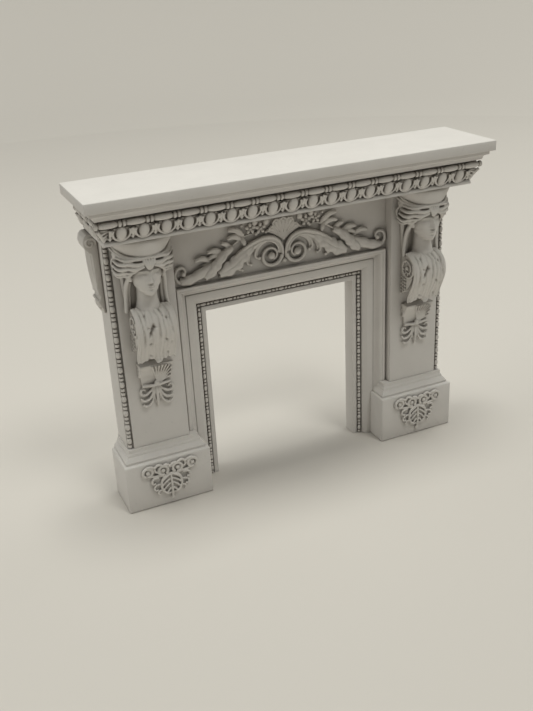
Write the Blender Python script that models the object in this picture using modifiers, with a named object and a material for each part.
"""Miniature fireplace mantel: a dolls' house chimneypiece in the classical taste.

The origin is at the middle of the footprint on the floor. +X is to the right, the front faces
-Y, and +Z is up. Everything is in metres. Depths are measured forwards from the wall plane,
which is the back of the mantel, and are turned into Y by the function front().
"""
import math

import bmesh
import bpy
from mathutils import Matrix, Vector

# Driving dimensions
WIDTH = 0.1500              # shelf, side to side
DEPTH = 0.0320              # shelf, wall to front edge
HEIGHT = 0.1206             # floor to shelf top
GAP = 0.0003                # glue line between neighbouring pieces

SHELF_THICKNESS = 0.0037
SHELF_EASE = 0.0003         # eased arrises
CORNER = WIDTH / 2 - DEPTH  # a moulding that stands out by d ends at x = CORNER + d

CORNICE_BOTTOM = 0.10455
CORE_OUT = 0.0240           # cornice bearer, wall to face
NOSE_OUT = 0.0259           # the bearer's nose behind the beads
FOOT_TOP = 0.1059
EGG_TOP = 0.1101
BEAD_BOTTOM = 0.1106
BEAD_TOP = 0.1133
BEAD_CENTRE_OUT = 0.02755
BED_BOTTOM = 0.1137
BED_OUT = 0.0304

BEAD_PITCH = 0.00877
BEADS_FRONT = 16
BEADS_SIDE = 3
EGG_PITCH = 0.00743
EGGS_FRONT = 18
EGGS_SIDE = 3
EGG_RADII = (0.0020, 0.0013, 0.0019)

FRIEZE_OUT = 0.0092
FRIEZE_RELIEF = 0.0020
FRIEZE_SCROLL_RADIUS = 0.0009

PILASTER_INNER = 0.0432
PILASTER_OUTER = 0.06665
PILASTER_OUT = 0.0135
PILASTER_FOOT = 0.0245
REBATE_WIDTH = 0.0023
REBATE_DEPTH = 0.0021
PEARL_RADIUS = 0.0009
PEARL_PITCH = 0.0057

PLINTH_INNER = 0.0371
PLINTH_OUTER = 0.06995
PLINTH_OUT = 0.01784
PLINTH_HEIGHT = 0.0192
PLINTH_EASE = 0.0004
CAP_INSET = 0.0011          # the cap's lowest step, in from the block's sides
CAP_OUT = 0.0162

SURROUND_RISE = 0.0380      # a line r from the middle on the legs is at r + this on the head
SLIP_INNER = 0.03027
SLIP_STEP = 0.03195
SLIP_OUTER = 0.03375
SLIP_OUT = 0.00603
SLIP_REBATE_OUT = 0.0049
SLIP_PEARL_CENTRE = 0.03305
SLIP_PEARL_OUT = 0.0060
SLIP_PEARL_RADIUS = 0.00075
SLIP_PEARL_PITCH = 0.0049
ARCHITRAVE_INNER = 0.03405
ARCHITRAVE_OUTER = 0.0422

CONSOLE_CENTRE = 0.0540
CONSOLE_WIDTH = 0.0134
HEAD_CENTRE = 0.0545
BRACKET_DEPTH = 0.0080
ORNAMENT_CENTRE = 0.0534

STONE_WHITE = (0.74, 0.72, 0.68)
SIDES = (("left", -1), ("right", 1))


# Small tools ------------------------------------------------------------------------------

def front(out):
    """Y of a point that stands out from the wall by out."""
    return DEPTH / 2 - out


def clear_scene():
    for old in list(bpy.data.objects):
        bpy.data.objects.remove(old, do_unlink=True)


def make_collection(name):
    made = bpy.data.collections.new(name)
    bpy.context.scene.collection.children.link(made)
    return made


def make_finish(name, colour, roughness):
    finish = bpy.data.materials.new(name)
    finish.use_nodes = True
    shader = finish.node_tree.nodes["Principled BSDF"]
    shader.inputs["Base Color"].default_value = (*colour, 1)
    shader.inputs["Roughness"].default_value = roughness
    shader.inputs["Metallic"].default_value = 0
    return finish


def weld(mesh, distance=1e-6):
    """Merge doubled vertices and turn every face outwards."""
    work = bmesh.new()
    work.from_mesh(mesh)
    bmesh.ops.remove_doubles(work, verts=work.verts, dist=distance)
    bmesh.ops.recalc_face_normals(work, faces=work.faces)
    work.to_mesh(mesh)
    work.free()
    return mesh


def evaluated_mesh(holder):
    """The mesh of a helper object with its modifiers, after which the helper is removed."""
    bpy.context.scene.collection.objects.link(holder)
    graph = bpy.context.evaluated_depsgraph_get()
    mesh = bpy.data.meshes.new_from_object(holder.evaluated_get(graph))
    bpy.data.objects.remove(holder, do_unlink=True)
    return mesh


def remap(mesh, place):
    """Move each vertex to place(u, v, w)."""
    for vertex in mesh.vertices:
        vertex.co = place(*vertex.co)
    return weld(mesh)


def add_piece(name, mesh):
    """Put a finished mesh in the model as a named piece."""
    mesh.name = name
    mesh.materials.clear()
    mesh.materials.append(FINISH)
    piece = bpy.data.objects.new(name, mesh)
    MODEL.objects.link(piece)
    return piece


def add_cutter(name, mesh):
    cutter = bpy.data.objects.new(name, mesh)
    CUTTERS.objects.link(cutter)
    cutter.hide_render = True
    cutter.display_type = "WIRE"
    return cutter


def combine(piece, mesh, operation="UNION"):
    """Join another closed mesh to a piece, or cut it out of the piece."""
    other = add_cutter(f"{piece.name}_{operation.lower()}_{len(piece.modifiers)}", mesh)
    boolean = piece.modifiers.new(operation.title(), "BOOLEAN")
    boolean.operation = operation
    boolean.object = other


def block_mesh(x, y, z):
    """A box between the low and high values of x, y and z."""
    work = bmesh.new()
    bmesh.ops.create_cube(work, size=1)
    middle = Vector((sum(x) / 2, sum(y) / 2, sum(z) / 2))
    size = (abs(x[1] - x[0]), abs(y[1] - y[0]), abs(z[1] - z[0]))
    bmesh.ops.transform(work, matrix=Matrix.LocRotScale(middle, None, size), verts=work.verts)
    mesh = bpy.data.meshes.new("block")
    work.to_mesh(mesh)
    work.free()
    return mesh


def stepped_mesh(levels):
    """A block that changes its plan as it rises.

    levels is a list of (z, low x, high x, standing out from the wall).
    """
    work = bmesh.new()
    bmesh.ops.create_cube(work, size=1)
    low, high = levels[:2]
    for corner in work.verts:
        z, x_low, x_high, out = high if corner.co.z > 0 else low
        corner.co = (x_high if corner.co.x > 0 else x_low, front(0 if corner.co.y > 0 else out), z)
    top = max(work.faces, key=lambda face: face.calc_center_median().z)
    for z, x_low, x_high, out in levels[2:]:
        middle = top.calc_center_median()
        top = bmesh.ops.extrude_discrete_faces(work, faces=[top])["faces"][0]
        for corner in top.verts:
            right = corner.co.x > middle.x
            back = corner.co.y > middle.y
            corner.co = (x_high if right else x_low, front(0 if back else out), z)
    mesh = bpy.data.meshes.new("stepped")
    work.to_mesh(mesh)
    work.free()
    return weld(mesh)


def outline_mesh(points, thickness):
    """A flat outline in u and v, filled and given a thickness in w."""
    curve = bpy.data.curves.new("outline", "CURVE")
    curve.dimensions = "2D"
    curve.fill_mode = "BOTH"
    curve.extrude = thickness / 2
    spline = curve.splines.new("POLY")
    spline.points.add(len(points) - 1)
    for point, (u, v) in zip(spline.points, points):
        point.co = (u, v, 0, 1)
    spline.use_cyclic_u = True
    return weld(evaluated_mesh(bpy.data.objects.new("outline", curve)))


def stroke_mesh(points, radius):
    """A round bar along a smooth curve, its ends closed."""
    curve = bpy.data.curves.new("stroke", "CURVE")
    curve.dimensions = "3D"
    curve.bevel_depth = radius
    curve.bevel_resolution = 1
    curve.use_fill_caps = True
    curve.resolution_u = 3
    spline = curve.splines.new("NURBS")
    spline.points.add(len(points) - 1)
    for point, (u, v) in zip(spline.points, points):
        point.co = (u, v, 0, 1)
    spline.order_u = 4
    spline.use_endpoint_u = True
    return weld(evaluated_mesh(bpy.data.objects.new("stroke", curve)))


def turned_mesh(profile, sides):
    """A shape turned about Z from a profile of (radius, height), given top to bottom."""
    mesh = bpy.data.meshes.new("profile")
    points = [(radius, 0, height) for radius, height in profile]
    mesh.from_pydata(points, [(i, i + 1) for i in range(len(points) - 1)], [])
    holder = bpy.data.objects.new("turned", mesh)
    screw = holder.modifiers.new("Screw", "SCREW")
    screw.steps = sides
    screw.render_steps = sides
    screw.use_merge_vertices = True
    screw.merge_threshold = 1e-6
    return weld(evaluated_mesh(holder))


def ball_mesh(centre, radii, segments=10, rings=8):
    """A ball stretched to three radii."""
    work = bmesh.new()
    bmesh.ops.create_uvsphere(work, u_segments=segments, v_segments=rings, radius=1)
    place = Matrix.LocRotScale(Vector(centre), None, radii)
    bmesh.ops.transform(work, matrix=place, verts=work.verts)
    mesh = bpy.data.meshes.new("ball")
    work.to_mesh(mesh)
    work.free()
    return mesh


def merged_mesh(meshes):
    """Several separate closed meshes as one."""
    work = bmesh.new()
    for mesh in meshes:
        work.from_mesh(mesh)
    merged = bpy.data.meshes.new("merged")
    work.to_mesh(merged)
    work.free()
    return merged


def string_profile(length, pitch, radius):
    """Beads with a reel between each two, as a profile from top to bottom."""
    neck = 0.45 * radius
    reel = 0.80 * radius
    count = max(1, round(length / pitch))
    step = length / count
    profile = [(0, length / 2), (neck, length / 2)]
    for index in range(count):
        middle = length / 2 - (index + 0.5) * step
        profile += [(radius, middle + 0.16 * step), (radius, middle - 0.16 * step)]
        profile += [(neck, middle - 0.36 * step)]
        if index < count - 1:
            profile += [(reel, middle - 0.50 * step), (neck, middle - 0.64 * step)]
    profile += [(neck, -length / 2), (0, -length / 2)]
    return profile


# Cornice ----------------------------------------------------------------------------------

def cornice_strip(name, profile):
    """A moulding along the front and both returns, mitred at the corners.

    profile is a list of (standing out, height).
    """
    mitre = GAP / 2

    def along_front(out, z, end):
        return (math.copysign(CORNER + out - mitre, end), front(out), z)

    add_piece(f"{name}_front", remap(outline_mesh(profile, 1), along_front))
    for label, side in SIDES:
        def along_side(out, z, end, side=side):
            return (side * (CORNER + out), front(0) if end > 0 else front(out - mitre), z)

        add_piece(f"{name}_{label}", remap(outline_mesh(profile, 1), along_side))


def cornice_bearer():
    """The core behind the cornice mouldings, with a nose behind the beads."""
    def level(z, out):
        return (z, -CORNER - out, CORNER + out, out)

    nose_low = EGG_TOP + GAP
    nose_high = BED_BOTTOM - GAP
    top = HEIGHT - SHELF_THICKNESS - GAP
    return stepped_mesh([
        level(CORNICE_BOTTOM, CORE_OUT), level(nose_low, CORE_OUT), level(nose_low, NOSE_OUT),
        level(nose_high, NOSE_OUT), level(nose_high, CORE_OUT), level(top, CORE_OUT)])


def egg_rows():
    """Eggs on the front and returns, as (centre, radii, name of the strip)."""
    z = (FOOT_TOP + EGG_TOP) / 2
    out = 0.0272
    width, deep, tall = EGG_RADII
    for index in range(EGGS_FRONT):
        x = (index - (EGGS_FRONT - 1) / 2) * EGG_PITCH
        yield (x, front(out), z), (width, deep, tall), "front"
    for label, side in SIDES:
        for index in range(EGGS_SIDE):
            y = front(0.0045 + index * EGG_PITCH)
            yield (side * (CORNER + out), y, z), (deep, width, tall), label


def build_cornice():
    top = HEIGHT - SHELF_THICKNESS
    shelf = add_piece("shelf_board", block_mesh(
        (-WIDTH / 2, WIDTH / 2), (front(DEPTH), front(0)), (top, HEIGHT)))
    ease = shelf.modifiers.new("Eased edges", "BEVEL")
    ease.width = SHELF_EASE
    ease.segments = 1

    add_piece("cornice_bearer", cornice_bearer())

    inner = CORE_OUT + GAP
    bed_top = top - GAP
    cornice_strip("bed_mould", [
        (inner, BED_BOTTOM), (0.0290, BED_BOTTOM), (0.0295, BED_BOTTOM + 0.0007),
        (BED_OUT - 0.0002, BED_BOTTOM + 0.0017), (BED_OUT, BED_BOTTOM + 0.0022),
        (BED_OUT, bed_top), (inner, bed_top)])
    cornice_strip("egg_dart", [
        (inner, FOOT_TOP + GAP), (0.0255, FOOT_TOP + GAP), (0.0267, 0.1076),
        (0.0277, 0.1092), (0.0279, EGG_TOP), (inner, EGG_TOP)])
    cornice_strip("cornice_foot", [
        (inner, CORNICE_BOTTOM), (0.0261, CORNICE_BOTTOM), (0.0258, FOOT_TOP), (inner, FOOT_TOP)])

    for label in ("front", "left", "right"):
        eggs = [ball_mesh(centre, radii, 8, 6) for centre, radii, row in egg_rows() if row == label]
        combine(bpy.data.objects[f"egg_dart_{label}"], merged_mesh(eggs))

    radius = (BEAD_TOP - BEAD_BOTTOM) / 2
    z = (BEAD_TOP + BEAD_BOTTOM) / 2
    length = 2 * (CORNER + BEAD_CENTRE_OUT + radius)
    profile = string_profile(length, BEAD_PITCH, radius)
    add_piece("bead_reel_front", remap(
        turned_mesh(profile, 6), lambda u, v, w: (w, front(BEAD_CENTRE_OUT) + u, z + v)))
    run = BEAD_CENTRE_OUT - radius - GAP
    for label, side in SIDES:
        profile = string_profile(run, BEAD_PITCH, radius)
        x = side * (CORNER + BEAD_CENTRE_OUT)
        add_piece(f"bead_reel_{label}", remap(
            turned_mesh(profile, 6), lambda u, v, w, x=x: (x + u, front(run / 2) + w, z + v)))


# Frieze -----------------------------------------------------------------------------------

def on_frieze(side):
    """Place an outline's (u, v) on the frieze, standing out by w."""
    middle = FRIEZE_OUT + GAP + FRIEZE_RELIEF / 2
    return lambda u, v, w: (side * u, front(middle + w), v)


def build_frieze():
    bottom = ARCHITRAVE_OUTER + SURROUND_RISE + GAP
    half = PILASTER_INNER - GAP
    add_piece("frieze_panel", block_mesh(
        (-half, half), (front(FRIEZE_OUT), front(0)), (bottom, CORNICE_BOTTOM - GAP)))

    scroll = [
        (0.0230, 0.0832), (0.0185, 0.0905), (0.0110, 0.0945), (0.0035, 0.0925), (0.0012, 0.0868),
        (0.0026, 0.0820), (0.0092, 0.0812), (0.0098, 0.0885), (0.0046, 0.0896), (0.0032, 0.0858),
        (0.0056, 0.0848)]
    spray = [
        (0.0062, 0.0962), (0.0125, 0.0956), (0.0168, 0.0938), (0.0212, 0.0898), (0.0252, 0.0848),
        (0.0262, 0.0818), (0.0400, 0.0812), (0.0424, 0.0838), (0.0412, 0.0872), (0.0370, 0.0876),
        (0.0330, 0.0892), (0.0262, 0.0925), (0.0195, 0.0962), (0.0140, 0.0990), (0.0085, 0.0994)]
    for label, side in SIDES:
        add_piece(f"frieze_scroll_{label}", remap(
            stroke_mesh(scroll, FRIEZE_SCROLL_RADIUS), on_frieze(side)))
        add_piece(f"frieze_spray_{label}", remap(
            outline_mesh(spray, FRIEZE_RELIEF), on_frieze(side)))

    lobes = 5
    base = 0.0951
    fan = [(-0.0008, base), (0.0008, base)]
    for index in range(lobes):
        angle = math.radians(28 + 31 * index)
        for turn, reach in ((-10, 0.0042), (0, 0.0047), (10, 0.0042)):
            bearing = angle + math.radians(turn)
            fan.append((reach * math.cos(bearing), base + reach * math.sin(bearing)))
    add_piece("frieze_palmette", remap(outline_mesh(fan, FRIEZE_RELIEF), on_frieze(1)))


# Pilasters and their ornament -------------------------------------------------------------

def lengthways(out_and_height, centre, width):
    """A side outline of (standing out, height), extruded across X about a centre."""
    def place(out, z, across):
        return (centre + across, front(out), z)

    return remap(outline_mesh(out_and_height, width), place)


def build_head(label, side):
    """Head, hair and headcloth, kept simple: the fine form is modelled as surface."""
    x = side * HEAD_CENTRE
    back = PILASTER_OUT + GAP
    cloth = [(back, 0.0960), (0.0190, 0.0960), (0.0238, 0.0975), (0.0228, 0.1010), (back, 0.1032)]
    head = add_piece(f"caryatid_head_{label}", lengthways(cloth, x, 0.0190))
    combine(head, ball_mesh((x, front(0.0188), 0.0922), (0.0062, 0.0047, 0.0098), 14, 10))
    combine(head, lengthways([(back, 0.0788), (0.0190, 0.0788), (0.0185, 0.0900), (back, 0.0900)],
                             x, 0.0080))


def build_console(label, side):
    x = side * CONSOLE_CENTRE
    back = PILASTER_OUT + GAP
    scroll = [
        (back, 0.0594), (0.0183, 0.0592), (0.0192, 0.0615), (0.0214, 0.0650), (0.0234, 0.0690),
        (0.0240, 0.0722), (0.0230, 0.0755), (0.0206, 0.0778), (0.0182, 0.0785), (back, 0.0785)]
    console = add_piece(f"console_scroll_{label}", lengthways(scroll, x, CONSOLE_WIDTH))
    volute = turned_mesh([(0, 0.0071), (0.0040, 0.0071), (0.0040, -0.0071), (0, -0.0071)], 14)
    combine(console, remap(volute, lambda u, v, w: (x + w, front(0.0190) + u, 0.0725 + v)))

    shell = [
        (back, 0.0486), (0.0150, 0.0483), (0.0158, 0.0500), (0.0166, 0.0530), (0.0178, 0.0563),
        (0.0178, 0.0574), (back, 0.0574)]
    add_piece(f"console_shell_{label}", lengthways(shell, x, 0.0122))

    drop = []
    for index in range(5):
        bearing = math.radians(200 + 35 * index)
        reach = 0.0095 - 0.0009 * abs(index - 2)
        for turn, part in ((-12, 0.84), (0, 1), (12, 0.84)):
            angle = bearing + math.radians(turn)
            drop.append((part * reach * 0.68 * math.cos(angle), 0.0481 + part * reach * math.sin(angle)))
    thickness = 0.0018
    middle = back + thickness / 2
    add_piece(f"palmette_drop_{label}", remap(
        outline_mesh(drop, thickness), lambda u, v, w: (x + u, front(middle + w), v)))


def build_side_bracket(label, side):
    """A slim bracket on the pilaster's outer face, from (standing off the face, height)."""
    off = GAP
    profile = [
        (off, 0.0757), (0.0008, 0.0760), (0.0012, 0.0785), (0.0022, 0.0800), (0.0016, 0.0825),
        (0.0024, 0.0850), (0.0026, 0.0975), (0.0046, 0.0990), (0.0048, 0.1022), (0.0036, 0.1042),
        (off, 0.1042)]
    mesh = outline_mesh(profile, BRACKET_DEPTH)
    middle = BRACKET_DEPTH / 2
    add_piece(f"side_bracket_{label}", remap(
        mesh, lambda u, v, w: (side * (PILASTER_OUTER + u), front(middle + w), v)))


def build_pilasters():
    top = CORNICE_BOTTOM - GAP
    for label, side in SIDES:
        x = (side * PILASTER_INNER, side * PILASTER_OUTER)
        pilaster = add_piece(f"pilaster_{label}", block_mesh(
            x, (front(PILASTER_OUT), front(0)), (PILASTER_FOOT, top)))
        rebate = (side * (PILASTER_OUTER - REBATE_WIDTH), side * (PILASTER_OUTER + 0.001))
        combine(pilaster, block_mesh(
            rebate, (front(PILASTER_OUT + 0.001), front(PILASTER_OUT - REBATE_DEPTH)),
            (PILASTER_FOOT - 0.001, top + 0.001)), "DIFFERENCE")

        length = top - PILASTER_FOOT
        x_pearl = side * (PILASTER_OUTER - PEARL_RADIUS)
        y_pearl = front(PILASTER_OUT - PEARL_RADIUS + 0.0001)
        z_pearl = PILASTER_FOOT + length / 2
        pearls = turned_mesh(string_profile(length, PEARL_PITCH, PEARL_RADIUS), 6)
        add_piece(f"pearl_strip_{label}", remap(
            pearls, lambda u, v, w: (x_pearl + u, y_pearl + v, z_pearl + w)))

        build_head(label, side)
        build_console(label, side)
        build_side_bracket(label, side)


# Plinths ----------------------------------------------------------------------------------

def build_plinths():
    ornament = [
        (-0.0108, 0.0160), (-0.0102, 0.0174), (-0.0040, 0.0168), (0.0000, 0.0178),
        (0.0040, 0.0168), (0.0102, 0.0174), (0.0108, 0.0160), (0.0082, 0.0138),
        (0.0066, 0.0102), (0.0038, 0.0060), (0.0000, 0.0036), (-0.0038, 0.0060),
        (-0.0066, 0.0102), (-0.0082, 0.0138)]
    thickness = 0.0014
    for label, side in SIDES:
        def level(z, inset, out, side=side):
            ends = side * (PLINTH_INNER + inset), side * (PLINTH_OUTER - inset)
            return (z, min(ends), max(ends), out)

        add_piece(f"plinth_block_{label}", stepped_mesh([
            level(0, 0, PLINTH_OUT), level(PLINTH_HEIGHT - PLINTH_EASE, 0, PLINTH_OUT),
            level(PLINTH_HEIGHT, PLINTH_EASE, PLINTH_OUT - PLINTH_EASE)]))

        low = PLINTH_HEIGHT + GAP
        high = PILASTER_FOOT - GAP
        add_piece(f"plinth_cap_{label}", stepped_mesh([
            level(low, CAP_INSET, CAP_OUT), level(low + 0.0018, CAP_INSET, CAP_OUT),
            level(low + 0.0027, CAP_INSET + 0.0009, CAP_OUT - 0.0009),
            level(low + 0.0038, CAP_INSET + 0.0015, CAP_OUT - 0.0014),
            level(high, CAP_INSET + 0.0018, CAP_OUT - 0.0017)]))

        x = side * ORNAMENT_CENTRE
        middle = PLINTH_OUT + GAP + thickness / 2
        add_piece(f"plinth_ornament_{label}", remap(
            outline_mesh(ornament, thickness), lambda u, v, w, x=x: (x + u, front(middle + w), v)))


# Surround ---------------------------------------------------------------------------------

def surround(name, profile, legs_from=0):
    """A moulding round the opening, mitred at the head, from (r, standing out).

    r is the distance from the middle line on the legs, and SURROUND_RISE is added to it for
    the height on the head.
    """
    mitre = GAP / 2
    for label, side in SIDES:
        def leg(r, out, end, side=side):
            return (side * r, front(out), r + SURROUND_RISE - mitre if end > 0 else legs_from)

        add_piece(f"{name}_{label}", remap(outline_mesh(profile, 1), leg))

    def head(r, out, end):
        return (math.copysign(r - mitre, end), front(out), r + SURROUND_RISE)

    add_piece(f"{name}_head", remap(outline_mesh(profile, 1), head))


def build_surround():
    surround("slip", [
        (SLIP_INNER, 0), (SLIP_INNER, SLIP_OUT), (SLIP_STEP, SLIP_OUT),
        (SLIP_STEP, SLIP_REBATE_OUT), (SLIP_OUTER, SLIP_REBATE_OUT), (SLIP_OUTER, 0)])
    surround("architrave", [
        (ARCHITRAVE_INNER, 0), (ARCHITRAVE_INNER, 0.0069), (0.0356, 0.0085), (0.0383, 0.0085),
        (0.0384, 0.0080), (0.0388, 0.0086), (0.0398, 0.0098), (0.0410, 0.0110),
        (0.0414, 0.0113), (ARCHITRAVE_OUTER, 0.0113), (ARCHITRAVE_OUTER, 0)])

    block_side = PLINTH_INNER - GAP
    cap_side = PLINTH_INNER + CAP_INSET - GAP
    cap_foot = PLINTH_HEIGHT + GAP
    clear = 0.0500
    notch = [
        (block_side, -0.001), (clear, -0.001), (clear, PILASTER_FOOT), (cap_side, PILASTER_FOOT),
        (cap_side, cap_foot), (block_side, cap_foot)]
    for label, side in SIDES:
        cutter = remap(outline_mesh(notch, 0.040),
                       lambda u, v, w, side=side: (side * u, front(0.010 + w), v))
        combine(bpy.data.objects[f"architrave_{label}"], cutter, "DIFFERENCE")

        top = SLIP_PEARL_CENTRE + SURROUND_RISE - SLIP_PEARL_RADIUS - GAP
        x = side * SLIP_PEARL_CENTRE
        leg = turned_mesh(string_profile(top, SLIP_PEARL_PITCH, SLIP_PEARL_RADIUS), 6)
        add_piece(f"slip_pearls_{label}", remap(
            leg, lambda u, v, w, x=x: (x + u, front(SLIP_PEARL_OUT) + v, top / 2 + w)))

    span = 2 * (SLIP_PEARL_CENTRE + SLIP_PEARL_RADIUS)
    z = SLIP_PEARL_CENTRE + SURROUND_RISE
    lintel = turned_mesh(string_profile(span, SLIP_PEARL_PITCH, SLIP_PEARL_RADIUS), 6)
    add_piece("slip_pearls_head", remap(
        lintel, lambda u, v, w: (w, front(SLIP_PEARL_OUT) + u, z + v)))


clear_scene()
MODEL = make_collection("miniature_fireplace_mantel")
CUTTERS = make_collection("cutters")
FINISH = make_finish("painted_plaster", STONE_WHITE, 0.75)
build_cornice()
build_frieze()
build_pilasters()
build_plinths()
build_surround()
